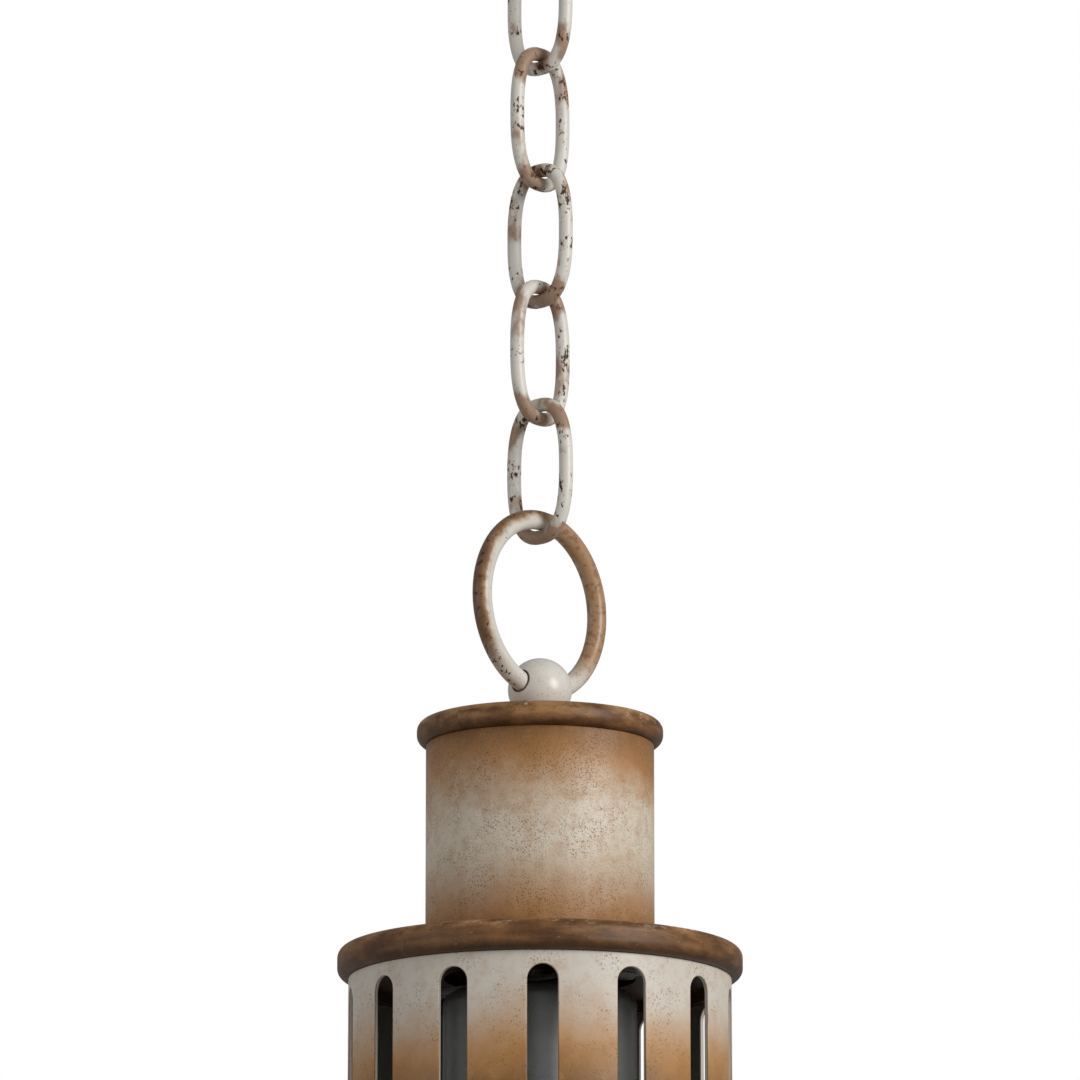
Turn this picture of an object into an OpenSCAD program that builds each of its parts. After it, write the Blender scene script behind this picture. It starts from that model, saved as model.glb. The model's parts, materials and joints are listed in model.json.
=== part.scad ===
// Hanging lantern on a chain: ceiling fitting, six oval links, a round ring through a
// drilled ball, and a turned metal body with a slotted vent drum over a guarded glass.
// The origin is at the middle of the ceiling face, with +Z up and the lantern below.
// The hanging ring lies in the XZ plane, and the links stand in the XZ and YZ planes in turn.

/* [Ceiling fitting] */
// Diameter of the canopy's rim
canopy_d = 126; // [100:2:160]
// Height of the canopy
canopy_h = 32; // [26:1:44]
// Height of the canopy's upright rim
canopy_rim_h = 6; // [4:0.5:8]
// Thickness of the canopy's metal
canopy_wall = 1.2; // [0.8:0.1:2]
// Length of the mounting strap
strap_l = 102; // [96:1:108]
// Width of the mounting strap
strap_w = 18; // [16:1:24]
// Thickness of the mounting strap
strap_t = 2; // [1.5:0.25:3]
// Distance between the strap's two screw holes
strap_hole_spacing = 88.9; // [70:0.1:90]
// Diameter of the strap's screw holes
strap_hole_d = 4.8; // [4:0.1:6]
// Outer diameter of the threaded tube
nipple_d = 10.2; // [9:0.1:12]
// Bore of the threaded tube, for the wires
nipple_bore_d = 6.6; // [5:0.1:7]
// How far the threaded tube stands up above the ceiling face
nipple_rise = 6; // [4:1:12]
// Diameter of the collar nut under the canopy
collar_d = 22; // [18:1:28]
// Height of the collar nut
collar_h = 8; // [6:0.5:12]

/* [Chain] */
// Thickness of the chain wire
wire_d = 5; // [4:0.1:6]
// Outside width of a link
link_w = 30; // [29:0.5:36]
// Outside length of a link
link_l = 54; // [45:0.5:65]
// Radius of a link's end bend, at the middle of the wire
link_end_r = 11.2; // [9:0.1:11.6]
// Radius of the canopy loop, at the middle of the wire
loop_r = 11; // [9:0.5:14]
// Clearance where one wire hangs on another
hang_clearance = 0.2; // [0.1:0.05:0.4]

/* [Hanging ring and ball] */
// Outside diameter of the hanging ring
ring_d = 69.2; // [56:0.2:84]
// Thickness of the hanging ring's wire
ring_wire_d = 7; // [5.5:0.1:8.4]
// Diameter of the ball that the ring passes through
ball_d = 23; // [21:0.5:28]
// Clearance round the ring inside the ball
ball_clearance = 0.3; // [0.2:0.05:0.5]
// Height of the ball's foot, above the top cap
ball_foot_h = 0.2; // [0.2:0.1:3]
// Diameter of the ball's foot
ball_foot_d = 13; // [10:0.5:16]
// Diameter of the ball's threaded stud
stud_d = 8; // [6:0.5:10]

/* [Body] */
// Diameter of the top cap
cap_d = 88.2; // [73:0.2:106]
// Thickness of the top cap
cap_t = 8.6; // [7:0.2:12]
// How much wider the top cap is than the neck, on each side
cap_overhang = 3.3; // [2:0.1:5]
// Height of the neck tube
neck_h = 73.6; // [60:0.2:90]
// Diameter of the two body flanges and the base ring
flange_d = 144.2; // [130:0.2:174]
// Thickness of each flange
flange_t = 10.8; // [9:0.2:14]
// Radius of the rounded corners on the cap and flange edges
edge_r = 3.6; // [2:0.1:3.6]
// How much wider the flanges are than the drum, on each side
flange_overhang = 4; // [3:0.5:6]
// Thickness of the sheet metal in the neck and the drum
sheet_t = 1.6; // [1.2:0.1:2.4]
// Width of the ledge inside the neck's spigot, round the shoulder's air passage
shoulder_ledge_w = 2; // [1:0.5:8]
// Height of each spigot that a tube fits over
spigot_h = 4; // [3:0.5:4.5]
// Clearance between a spigot and its tube
spigot_clearance = 0.1; // [0.05:0.05:0.3]

/* [Vent drum] */
// Height of the vent drum
drum_h = 56; // [50:0.5:68]
// Number of vent slots
slot_count = 13; // [9:1:13]
// Width of a vent slot
slot_w = 10.9; // [8:0.1:13.1]
// Metal left above and below the slots
slot_margin = 4.9; // [4.9:0.1:9]
// Angle between neighbouring slots
slot_pitch = 27.25; // [24:0.25:27.5]
// Direction of the drum's seam
seam_turn = -39.6; // [-90:0.1:90]
// Width of the strip behind the seam
seam_strip_w = 13; // [12:0.5:14]
// Thickness of the strip behind the seam
seam_strip_t = 1; // [0.8:0.1:1.6]
// Diameter of the seam rivets
rivet_d = 3; // [2.4:0.2:3.6]

/* [Glass and guard] */
// How far the glass stands in from the flange's edge
glass_inset = 14; // [13.5:0.5:18]
// Height of the glass
glass_h = 150; // [120:1:180]
// Thickness of the glass
glass_t = 4; // [3:0.5:5]
// Thickness of the gaskets at the ends of the glass
gasket_t = 3; // [2:0.5:4]
// Clearance round the glass
glass_clearance = 0.5; // [0.4:0.1:0.8]
// Number of guard rods
rod_count = 6; // [4:2:6]
// Diameter of the guard rods
rod_d = 5; // [4:0.1:6]
// Height of the flat band round the guard rods
band_h = 8; // [6:1:14]
// Thickness of the flat band
band_t = 2; // [1.5:0.25:2.5]

/* [Bottom door] */
// Width of the base ring's ledge from the glass's outside to the door's opening
hatch_ledge_w = 10; // [9:0.5:16]
// Thickness of the door's metal
door_t = 2; // [1.5:0.25:2.5]
// Width of the door's flat rim
door_rim_w = 10; // [9:0.5:14]
// Depth of the door's dish
dish_h = 14; // [10:1:18]
// Number of air holes in the dish
air_hole_count = 8; // [4:1:12]
// Diameter of the air holes
air_hole_d = 6; // [4:0.5:8]
// Diameter of the hinge pin
pin_d = 3; // [2.5:0.25:3.5]
// Clearance round the hinge pin
pin_clearance = 0.08; // [0.05:0.01:0.1]
// Diameter of the hinge knuckles
knuckle_d = 7; // [6.5:0.25:8]
// Length of each hinge knuckle
knuckle_l = 9; // [7:0.5:11]
// Diameter of the ball on the door's knob
knob_d = 14; // [10:1:18]

/* [Lamp] */
// Diameter of the metal cup round the lamp holder
cup_d = 69; // [60:1:70]
// Height of the cup
cup_h = 50; // [44:1:54]
// Gap between the shoulder flange and the top of the cup
cup_drop = 5; // [5:0.5:10]
// Thickness of the cup's metal
cup_wall = 1; // [0.8:0.1:1.6]
// Diameter of the lamp holder
holder_d = 38; // [34:1:42]
// Height of the lamp holder
holder_h = 38; // [36:1:44]
// Diameter of the bulb's metal cap
bulb_cap_d = 26; // [24:0.5:27]
// Diameter of the bulb's glass
bulb_d = 60; // [50:1:64]
// Length of the bulb below the holder
bulb_l = 78; // [70:1:86]

/* [Hidden] */
$fn = 64;

// Cutters run past the faces they cut by this much
past = 1;
half_turn = 180;
hex_sides = 6;

// Heights of the ceiling fitting
collar_top = -canopy_h;
collar_edge_r = 2.4;
boss_top = collar_top - collar_h;
boss_h = 10;
boss_d = 16;
boss_socket_h = 7;
loop_sink = 1.5;
loop_z = boss_top - boss_h - loop_r - wire_d / 2 + loop_sink;
loop_bottom = loop_z - loop_r;

// The four arcs of a link, at the middle of the wire
link_a = (link_w - wire_d) / 2;
link_b = (link_l - wire_d) / 2;
end_centre = link_b - link_end_r;
side_r = (link_a ^ 2 + end_centre ^ 2 - link_end_r ^ 2) / (2 * (link_a - link_end_r));
side_centre = side_r - link_a;
join_turn = atan2(end_centre, side_centre);
forge_trim = 0.1;
forge_rise = 0.06;

// The wire centre that each link hangs on, and the middle of each link
link_count = 6;
link_pitch = 2 * link_b - wire_d - hang_clearance;
function hook_z(i) = loop_bottom - i * link_pitch;
function link_z(i) = hook_z(i) + wire_d + hang_clearance - link_b;

// The hanging ring hangs on the last link, and its lowest point runs through the ball
ring_r = (ring_d - ring_wire_d) / 2;
ring_z = hook_z(link_count) + (wire_d + ring_wire_d) / 2 + hang_clearance - ring_r;
ball_z = ring_z - ring_r;
bore_r = ring_wire_d / 2 + ball_clearance;

// Heights of the lantern's body
cap_top = ball_z - ball_d / 2 - ball_foot_h;
neck_top = cap_top - cap_t;
flange_top = neck_top - neck_h;
drum_top = flange_top - flange_t;
lower_top = drum_top - drum_h;
lower_bottom = lower_top - flange_t;
glass_top = lower_bottom - gasket_t;
glass_bottom = glass_top - glass_h;
base_top = glass_bottom - gasket_t;
base_bottom = base_top - flange_t;

// Radii of the lantern's body
cap_r = cap_d / 2;
neck_r = cap_r - cap_overhang;
flange_r = flange_d / 2;
drum_r = flange_r - flange_overhang;
drum_in_r = drum_r - sheet_t;
neck_in_r = neck_r - sheet_t;
drum_spigot_r = drum_in_r - spigot_clearance;
neck_spigot_r = neck_in_r - spigot_clearance;
spigot_wall = 3;
glass_r = flange_r - glass_inset;
hatch_r = glass_r - hatch_ledge_w;
shoulder_bore_r = neck_spigot_r - spigot_wall - shoulder_ledge_w;

// Guard and glass seats
lip_t = 1.8;
lip_h = 4;
lip_in_r = glass_r + glass_clearance;
rod_turn = 30;
rod_circle_r = lip_in_r + lip_t + 0.7 + rod_d / 2;
rod_socket_h = 6;
rod_tail_h = 4;
nut_h = 6;
nut_d = 10;

// Screws and nuts
screw_d = 4;
screw_head_d = 8;
screw_head_h = 2;
screw_depth = 6;
washer_d = 22;
washer_t = 2;
hanger_nut_d = 16;
hanger_nut_h = 7;
lock_nut_d = 17;
lock_nut_h = 4;
ground_turn_x = 20;

// The supply wire goes in through a bush in the top cap, behind the ball
bush_y = 26;
bush_hole_d = 11;
bush_bore_d = 7.5;
bush_head_d = 15;
bush_head_h = 2.5;

// Lamp parts
bracket_w = 16;
bracket_t = 2;
bracket_screw_y = shoulder_bore_r + 6;
bracket_l = 2 * (bracket_screw_y + 7);
bracket_low = drum_top - bracket_t;
cup_top = drum_top - cup_drop;
cup_edge_r = 5;
stem_d = 10;
stem_rise = 3;
stem_socket_h = 5;
stem_bore_d = 6;
holder_top = cup_top - cup_wall;
holder_bottom = holder_top - holder_h;
holder_socket_h = 26;
bulb_cap_h = 25;
bulb_cap_sunk_h = 24;
bulb_z = holder_bottom - bulb_l + bulb_d / 2;
bulb_wall = 0.8;

// Door and hinge
door_gap = 2.2;
door_gasket_t = 2;
door_gasket_w = 5;
door_r = hatch_r + 6;
dish_r = door_r - door_rim_w;
door_top = base_bottom - door_gap;
door_bottom = door_top - door_t;
dish_out_r = (dish_r ^ 2 + dish_h ^ 2) / (2 * dish_h);
leaf_t = 1.5;
leaf_gap = 0.4;
hinge_x = -(door_r + 8);
hinge_z = base_bottom - leaf_t - knuckle_d / 2 - leaf_gap;
knuckle_gap = 0.3;
tongue_w = knuckle_l - 2 * knuckle_gap;
hinge_w = 3 * knuckle_l;
leaf_in_x = hinge_x + 7.8;
leaf_out_x = hinge_x - 3.4;
hinge_screw_x = hinge_x + 5.2;
hinge_screw_d = 3;
hinge_head_d = 5;
hinge_head_h = 1.2;
pin_tail = 1;
pin_head_d = 5;
catch_w = 12;
catch_t = 1;
catch_gap = 0.4;
catch_h = 12;
air_hole_r = dish_r * 0.65;

// A flat ring with a rounded outer edge, standing on z = 0
module rounded_ring(outer_r, inner_r, thick, corner) {
  rotate_extrude() {
    translate([inner_r, 0]) square([outer_r - corner - inner_r, thick]);
    translate([inner_r, corner]) square([outer_r - inner_r, thick - 2 * corner]);
    for (z = [corner, thick - corner])
      translate([outer_r - corner, z]) circle(r = corner);
  }
}

// A plain tube standing on z = 0
module tube(outer_r, inner_r, height) {
  difference() {
    cylinder(r = outer_r, h = height);
    translate([0, 0, -past]) cylinder(r = inner_r, h = height + 2 * past);
  }
}

// Copies set evenly on a circle
module around(count, radius, first) {
  for (i = [0 : count - 1])
    rotate([0, 0, first + i * 360 / count])
      translate([radius, 0, 0]) children();
}

// A stretch of bent wire about the Z axis
module wire_arc(bend_r, first, sweep, thick) {
  rotate([0, 0, first])
    rotate_extrude(angle = sweep)
      translate([bend_r, 0]) circle(d = thick);
}

// An oval link of four bends, upright in the XZ plane, with a fine forged line at each join
module oval_link() {
  end_trim = forge_trim / link_end_r * half_turn / PI;
  side_trim = forge_trim / side_r * half_turn / PI;
  rotate([90, 0, 0])
    for (side = [0, half_turn]) rotate([0, 0, side]) {
      translate([0, end_centre, 0]) {
        wire_arc(link_end_r, join_turn + end_trim, half_turn - 2 * (join_turn + end_trim), wire_d);
        for (turn = [join_turn, half_turn - join_turn])
          rotate([0, 0, turn]) translate([link_end_r, 0, 0]) rotate([90, 0, 0])
            cylinder(d = wire_d + forge_rise, h = 3 * forge_trim, center = true);
      }
      translate([-side_centre, 0, 0])
        wire_arc(side_r, side_trim - join_turn, 2 * (join_turn - side_trim), wire_d);
    }
}

// Odd links stand in the XZ plane, even ones in the YZ plane
module chain_link(i) {
  color("antiquewhite")
    translate([0, 0, link_z(i - 1)])
      rotate([0, 0, i % 2 == 1 ? 0 : 90]) oval_link();
}

// A pan-head screw with its head below z = 0 and its shank above
module pan_screw(shank_h) {
  cylinder(d = screw_d, h = shank_h);
  translate([0, 0, -screw_head_h])
    cylinder(d1 = screw_head_d - 2, d2 = screw_head_d, h = screw_head_h);
}

// ---- Ceiling fitting ----

module mounting_strap() {
  color("silver") difference() {
    translate([-strap_l / 2, -strap_w / 2, -strap_t]) cube([strap_l, strap_w, strap_t]);
    for (x = [-strap_hole_spacing / 2, strap_hole_spacing / 2])
      translate([x, 0, -strap_t - past]) cylinder(d = strap_hole_d, h = strap_t + 2 * past);
    translate([0, 0, -strap_t - past]) cylinder(d = nipple_d, h = strap_t + 2 * past);
    translate([ground_turn_x, 0, -strap_t - past]) cylinder(d = screw_d, h = strap_t + 2 * past);
  }
}

module ground_screw() {
  color("seagreen") translate([ground_turn_x, 0, -strap_t]) pan_screw(strap_t);
}

module threaded_tube() {
  tail = boss_top - boss_socket_h;
  color("silver") translate([0, 0, tail])
    tube(nipple_d / 2, nipple_bore_d / 2, nipple_rise - tail);
}

module lock_nut() {
  color("silver") translate([0, 0, -strap_t - lock_nut_h]) difference() {
    cylinder(d = lock_nut_d, h = lock_nut_h, $fn = hex_sides);
    translate([0, 0, -past]) cylinder(d = nipple_d, h = lock_nut_h + 2 * past);
  }
}

// A shallow dome with an upright rim, open against the ceiling
module canopy() {
  rim_r = canopy_d / 2;
  lip_r = canopy_rim_h / 2;
  dome_foot_r = rim_r - lip_r;
  dome_h = canopy_h - canopy_rim_h;
  dome_r = (dome_foot_r ^ 2 + dome_h ^ 2) / (2 * dome_h);
  dome_z = dome_r - canopy_h;
  color("saddlebrown") rotate_extrude() {
    difference() {
      translate([nipple_d / 2 + spigot_clearance, -canopy_h])
        square([dome_foot_r - nipple_d / 2 - spigot_clearance, dome_h]);
      translate([0, dome_z]) circle(r = dome_r - canopy_wall);
      difference() {
        translate([0, -canopy_h - past]) square([rim_r, canopy_h]);
        translate([0, dome_z]) circle(r = dome_r);
      }
    }
    difference() {
      union() {
        translate([dome_foot_r - canopy_wall, -canopy_rim_h]) square([canopy_wall, canopy_rim_h]);
        translate([dome_foot_r, -lip_r]) circle(r = lip_r);
      }
      translate([dome_foot_r - canopy_wall - lip_r, -canopy_rim_h - past])
        square([lip_r, canopy_rim_h + 2 * past]);
    }
  }
}

module collar_nut() {
  color("saddlebrown") translate([0, 0, boss_top])
    rounded_ring(collar_d / 2, nipple_d / 2, collar_h, collar_edge_r);
}

// A closed loop on a round boss, standing in the YZ plane
module canopy_loop() {
  color("saddlebrown") difference() {
    union() {
      translate([0, 0, boss_top - boss_h]) cylinder(d = boss_d, h = boss_h);
      translate([0, 0, loop_z]) rotate([0, 90, 0])
        rotate_extrude() translate([loop_r, 0]) circle(d = wire_d);
    }
    translate([0, 0, boss_top - boss_socket_h]) cylinder(d = nipple_d, h = boss_socket_h + past);
  }
}

// ---- Hanging ring and ball ----

module hanging_ring() {
  color("wheat") translate([0, 0, ring_z]) rotate([90, 0, 0])
    rotate_extrude() translate([ring_r, 0]) circle(d = ring_wire_d);
}

// The curved hole that the ring slides through
module ring_passage() {
  translate([0, 0, ring_z]) rotate([90, 0, 0])
    rotate_extrude() translate([ring_r, 0]) circle(r = bore_r);
}

module hanging_ball() {
  stud_h = cap_t + washer_t + hanger_nut_h + 2;
  color("wheat") {
    difference() {
      union() {
        translate([0, 0, ball_z]) sphere(d = ball_d);
        translate([0, 0, cap_top]) cylinder(d = ball_foot_d, h = ball_z - cap_top);
      }
      ring_passage();
    }
    translate([0, 0, cap_top - stud_h]) cylinder(d = stud_d, h = stud_h);
  }
}

module hanger_washer() {
  color("silver") translate([0, 0, neck_top - washer_t])
    tube(washer_d / 2, stud_d / 2, washer_t);
}

module hanger_nut() {
  color("silver") translate([0, 0, neck_top - washer_t - hanger_nut_h]) difference() {
    cylinder(d = hanger_nut_d, h = hanger_nut_h, $fn = hex_sides);
    translate([0, 0, -past]) cylinder(d = stud_d, h = hanger_nut_h + 2 * past);
  }
}

// ---- Body ----

module top_cap() {
  color("saddlebrown") difference() {
    union() {
      translate([0, 0, neck_top]) rounded_ring(cap_r, stud_d / 2, cap_t, edge_r);
      translate([0, 0, neck_top - spigot_h])
        tube(neck_spigot_r, neck_spigot_r - spigot_wall, spigot_h);
    }
    translate([0, bush_y, neck_top - past]) cylinder(d = bush_hole_d, h = cap_t + 2 * past);
  }
}

module wire_bush() {
  color("black") difference() {
    union() {
      translate([0, bush_y, neck_top]) cylinder(d = bush_hole_d, h = cap_t);
      translate([0, bush_y, cap_top]) cylinder(d = bush_head_d, h = bush_head_h);
    }
    translate([0, bush_y, neck_top - past])
      cylinder(d = bush_bore_d, h = cap_t + bush_head_h + 2 * past);
  }
}

module neck_tube() {
  color("wheat") translate([0, 0, flange_top]) tube(neck_r, neck_in_r, neck_h);
}

module shoulder_flange() {
  color("saddlebrown") difference() {
    union() {
      translate([0, 0, drum_top]) rounded_ring(flange_r, shoulder_bore_r, flange_t, edge_r);
      translate([0, 0, flange_top])
        tube(neck_spigot_r, neck_spigot_r - spigot_wall, spigot_h);
      translate([0, 0, drum_top - spigot_h])
        tube(drum_spigot_r, drum_spigot_r - spigot_wall, spigot_h);
    }
    for (y = [-bracket_screw_y, bracket_screw_y])
      translate([0, y, drum_top - past]) cylinder(d = screw_d, h = screw_depth + past);
  }
}

// One upright slot with round ends, cut outwards from the axis
module vent_slot() {
  low = lower_top + slot_margin + slot_w / 2;
  high = drum_top - slot_margin - slot_w / 2;
  reach = sheet_t + 2 * past;
  translate([drum_in_r - past, 0, 0]) {
    for (z = [low, high])
      translate([0, 0, z]) rotate([0, 90, 0]) cylinder(d = slot_w, h = reach);
    translate([0, -slot_w / 2, low]) cube([reach, slot_w, high - low]);
  }
}

// Heights of the rivets in the drum's seam
rivet_count = 4;
rivet_margin = spigot_h + 5;
rivet_step = (drum_h - 2 * rivet_margin) / (rivet_count - 1);
function rivet_z(i) = lower_top + rivet_margin + i * rivet_step;

module rivet_holes() {
  reach = sheet_t + seam_strip_t + 2 * past;
  for (i = [0 : rivet_count - 1])
    rotate([0, 0, seam_turn])
      translate([drum_in_r - seam_strip_t - past, 0, rivet_z(i)])
        rotate([0, 90, 0]) cylinder(d = rivet_d, h = reach);
}

module vent_drum() {
  first = seam_turn + half_turn - slot_pitch * (slot_count - 1) / 2;
  color("wheat") difference() {
    translate([0, 0, lower_top]) tube(drum_r, drum_in_r, drum_h);
    for (i = [0 : slot_count - 1])
      rotate([0, 0, first + i * slot_pitch]) vent_slot();
    rivet_holes();
  }
}

module seam_strip() {
  sweep = seam_strip_w / drum_in_r * half_turn / PI;
  low = lower_top + spigot_h + 0.5;
  color("dimgray") difference() {
    translate([0, 0, low]) rotate([0, 0, seam_turn - sweep / 2])
      rotate_extrude(angle = sweep)
        translate([drum_in_r - seam_strip_t, 0]) square([seam_strip_t, drum_h - 2 * spigot_h - 1]);
    rivet_holes();
  }
}

module seam_rivets() {
  head_d = 2 * rivet_d;
  head_h = 0.8;
  dome_r = ((head_d / 2) ^ 2 + head_h ^ 2) / (2 * head_h);
  inner = drum_in_r - seam_strip_t;
  color("tan") for (i = [0 : rivet_count - 1])
    rotate([0, 0, seam_turn]) translate([0, 0, rivet_z(i)]) rotate([0, 90, 0]) {
      translate([0, 0, inner - head_h]) cylinder(d = head_d, h = head_h);
      translate([0, 0, inner]) cylinder(d = rivet_d, h = drum_r - inner);
      intersection() {
        translate([0, 0, drum_r + head_h - dome_r]) sphere(r = dome_r);
        translate([0, 0, drum_r]) cylinder(d = head_d, h = head_h);
      }
    }
}

// ---- Lamp ----

module lamp_bracket() {
  color("silver") difference() {
    translate([-bracket_w / 2, -bracket_l / 2, bracket_low]) cube([bracket_w, bracket_l, bracket_t]);
    for (y = [-bracket_screw_y, bracket_screw_y])
      translate([0, y, bracket_low - past]) cylinder(d = screw_d, h = bracket_t + 2 * past);
    translate([0, 0, bracket_low - past]) cylinder(d = stem_d, h = bracket_t + 2 * past);
  }
}

module bracket_screws() {
  color("silver") for (y = [-bracket_screw_y, bracket_screw_y])
    translate([0, y, bracket_low]) pan_screw(bracket_t + screw_depth);
}

// A short threaded tube that carries the cup and the holder
module lamp_stem() {
  low = holder_top - stem_socket_h;
  color("silver") translate([0, 0, low])
    tube(stem_d / 2, stem_bore_d / 2, drum_top + stem_rise - low);
}

// A spun cup with a rounded shoulder, open below
module lamp_cup() {
  cup_r = cup_d / 2;
  color("slategray") translate([0, 0, cup_top - cup_h]) rotate_extrude() {
    translate([cup_r - cup_wall, 0]) square([cup_wall, cup_h - cup_edge_r]);
    translate([stem_d / 2, cup_h - cup_wall]) square([cup_r - cup_edge_r - stem_d / 2, cup_wall]);
    intersection() {
      translate([cup_r - cup_edge_r, cup_h - cup_edge_r]) difference() {
        circle(r = cup_edge_r);
        circle(r = cup_edge_r - cup_wall);
      }
      translate([cup_r - cup_edge_r, cup_h - cup_edge_r]) square(cup_edge_r);
    }
  }
}

module lamp_holder() {
  color("ivory") difference() {
    translate([0, 0, holder_bottom]) cylinder(d = holder_d, h = holder_h);
    translate([0, 0, holder_bottom - past]) cylinder(d = bulb_cap_d, h = holder_socket_h + past);
    translate([0, 0, holder_top - stem_socket_h]) cylinder(d = stem_d, h = stem_socket_h + past);
  }
}

module bulb_cap() {
  color("silver") translate([0, 0, holder_bottom - bulb_cap_h + bulb_cap_sunk_h])
    cylinder(d = bulb_cap_d, h = bulb_cap_h);
}

// The outline of the bulb's glass, smaller by a wall where it is used for the hollow
module bulb_form(wall) {
  cap_bottom = holder_bottom - bulb_cap_h + bulb_cap_sunk_h;
  translate([0, 0, bulb_z]) sphere(d = bulb_d - 2 * wall);
  translate([0, 0, bulb_z])
    cylinder(d1 = bulb_d - 12 - 2 * wall, d2 = bulb_cap_d - 2 * wall, h = cap_bottom - bulb_z - wall);
}

module bulb_glass() {
  color([1, 1, 1, 0.4]) difference() {
    bulb_form(0);
    bulb_form(bulb_wall);
  }
}

// ---- Glass and guard ----

module lower_flange() {
  color("saddlebrown") difference() {
    union() {
      translate([0, 0, lower_bottom]) rounded_ring(flange_r, glass_r - glass_t, flange_t, edge_r);
      translate([0, 0, lower_top])
        tube(drum_spigot_r, drum_spigot_r - spigot_wall, spigot_h);
      translate([0, 0, lower_bottom - lip_h]) tube(lip_in_r + lip_t, lip_in_r, lip_h);
    }
    around(rod_count, rod_circle_r, rod_turn)
      translate([0, 0, lower_bottom - past]) cylinder(d = rod_d, h = rod_socket_h + past);
  }
}

module gasket(z) {
  color("black") translate([0, 0, z]) tube(glass_r, glass_r - glass_t, gasket_t);
}

module glass_cylinder() {
  color([0.85, 0.92, 0.9, 0.4]) translate([0, 0, glass_bottom])
    tube(glass_r, glass_r - glass_t, glass_h);
}

module guard_rods() {
  low = base_bottom - rod_tail_h;
  color("wheat") around(rod_count, rod_circle_r, rod_turn)
    translate([0, 0, low]) cylinder(d = rod_d, h = lower_bottom + rod_socket_h - low);
}

module guard_band() {
  in_r = rod_circle_r + rod_d / 2;
  color("wheat") translate([0, 0, (glass_top + glass_bottom - band_h) / 2])
    tube(in_r + band_t, in_r, band_h);
}

module base_ring() {
  color("saddlebrown") difference() {
    union() {
      translate([0, 0, base_bottom]) rounded_ring(flange_r, hatch_r, flange_t, edge_r);
      translate([0, 0, base_top]) tube(lip_in_r + lip_t, lip_in_r, lip_h);
    }
    around(rod_count, rod_circle_r, rod_turn)
      translate([0, 0, base_bottom - past]) cylinder(d = rod_d, h = flange_t + 2 * past);
    hinge_screw_places() translate([0, 0, -past])
      cylinder(d = hinge_screw_d, h = screw_depth + past);
  }
}

// A hexagon nut with a domed end, closed below
module rod_nuts() {
  color("silver") around(rod_count, rod_circle_r, rod_turn)
    translate([0, 0, base_bottom]) difference() {
      union() {
        translate([0, 0, -nut_h]) cylinder(d = nut_d, h = nut_h, $fn = hex_sides);
        translate([0, 0, -nut_h]) sphere(d = nut_d * 0.8);
      }
      translate([0, 0, -rod_tail_h]) cylinder(d = rod_d, h = rod_tail_h + past);
    }
}

// ---- Bottom door ----

module door_gasket() {
  color("black") translate([0, 0, base_bottom - door_gasket_t])
    tube(hatch_r + door_gasket_w, hatch_r, door_gasket_t);
}

// Places of the two screws in the hinge's leaf, at the base ring's lower face
module hinge_screw_places() {
  for (y = [-knuckle_l, knuckle_l])
    translate([hinge_screw_x, y, base_bottom]) children();
}

// A leaf under the base ring with two knuckles
module hinge_bracket() {
  web_w = 5;
  color("saddlebrown") difference() {
    union() {
      translate([leaf_out_x, -hinge_w / 2, base_bottom - leaf_t])
        cube([leaf_in_x - leaf_out_x, hinge_w, leaf_t]);
      for (y = [-hinge_w / 2, knuckle_l / 2]) {
        translate([hinge_x, y, hinge_z]) rotate([-90, 0, 0]) cylinder(d = knuckle_d, h = knuckle_l);
        translate([hinge_x - web_w / 2, y, hinge_z])
          cube([web_w, knuckle_l, base_bottom - leaf_t - hinge_z]);
      }
    }
    translate([hinge_x, -hinge_w / 2 - past, hinge_z]) rotate([-90, 0, 0])
      cylinder(d = pin_d, h = hinge_w + 2 * past);
    hinge_screw_places() translate([0, 0, -leaf_t - past])
      cylinder(d = hinge_screw_d, h = leaf_t + 2 * past);
  }
}

module hinge_screws() {
  color("silver") hinge_screw_places() {
    translate([0, 0, -leaf_t]) cylinder(d = hinge_screw_d, h = leaf_t + screw_depth);
    translate([0, 0, -leaf_t - hinge_head_h]) cylinder(d = hinge_head_d, h = hinge_head_h);
  }
}

module hinge_pin() {
  color("silver") translate([hinge_x, -hinge_w / 2, hinge_z]) rotate([-90, 0, 0]) {
    translate([0, 0, -pin_tail]) cylinder(d = pin_head_d, h = pin_tail);
    cylinder(d = pin_d, h = hinge_w + pin_tail);
  }
}

// A dished lid with a flat rim and one knuckle
module bottom_door() {
  color("saddlebrown") difference() {
    union() {
      rotate_extrude() {
        translate([dish_r - door_t, door_bottom]) square([door_r - dish_r + door_t, door_t]);
        intersection() {
          difference() {
            translate([0, door_bottom - dish_h + dish_out_r]) circle(r = dish_out_r);
            translate([0, door_bottom - dish_h + dish_out_r]) circle(r = dish_out_r - door_t);
          }
          translate([0, door_bottom - dish_h]) square([dish_r, dish_h + door_t]);
        }
      }
      translate([hinge_x, -tongue_w / 2, door_bottom]) cube([door_rim_w + 3, tongue_w, door_t]);
      translate([hinge_x, -tongue_w / 2, hinge_z]) rotate([-90, 0, 0])
        cylinder(d = knuckle_d, h = tongue_w);
    }
    translate([hinge_x, -tongue_w / 2 - past, hinge_z]) rotate([-90, 0, 0])
      cylinder(d = pin_d + 2 * pin_clearance, h = tongue_w + 2 * past);
    around(air_hole_count, air_hole_r, 0)
      translate([0, 0, door_bottom - dish_h - past]) cylinder(d = air_hole_d, h = dish_h + door_t);
    translate([0, 0, door_bottom - dish_h - past]) cylinder(d = screw_d, h = dish_h);
    catch_rivet_places() translate([0, 0, -past]) cylinder(d = rivet_d, h = door_t + 2 * past);
  }
}

// Places of the catch's rivets, at the lower face of the door's rim
module catch_rivet_places() {
  for (y = [-catch_w / 4, catch_w / 4])
    translate([door_r - door_rim_w / 3, y, door_bottom]) children();
}

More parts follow.
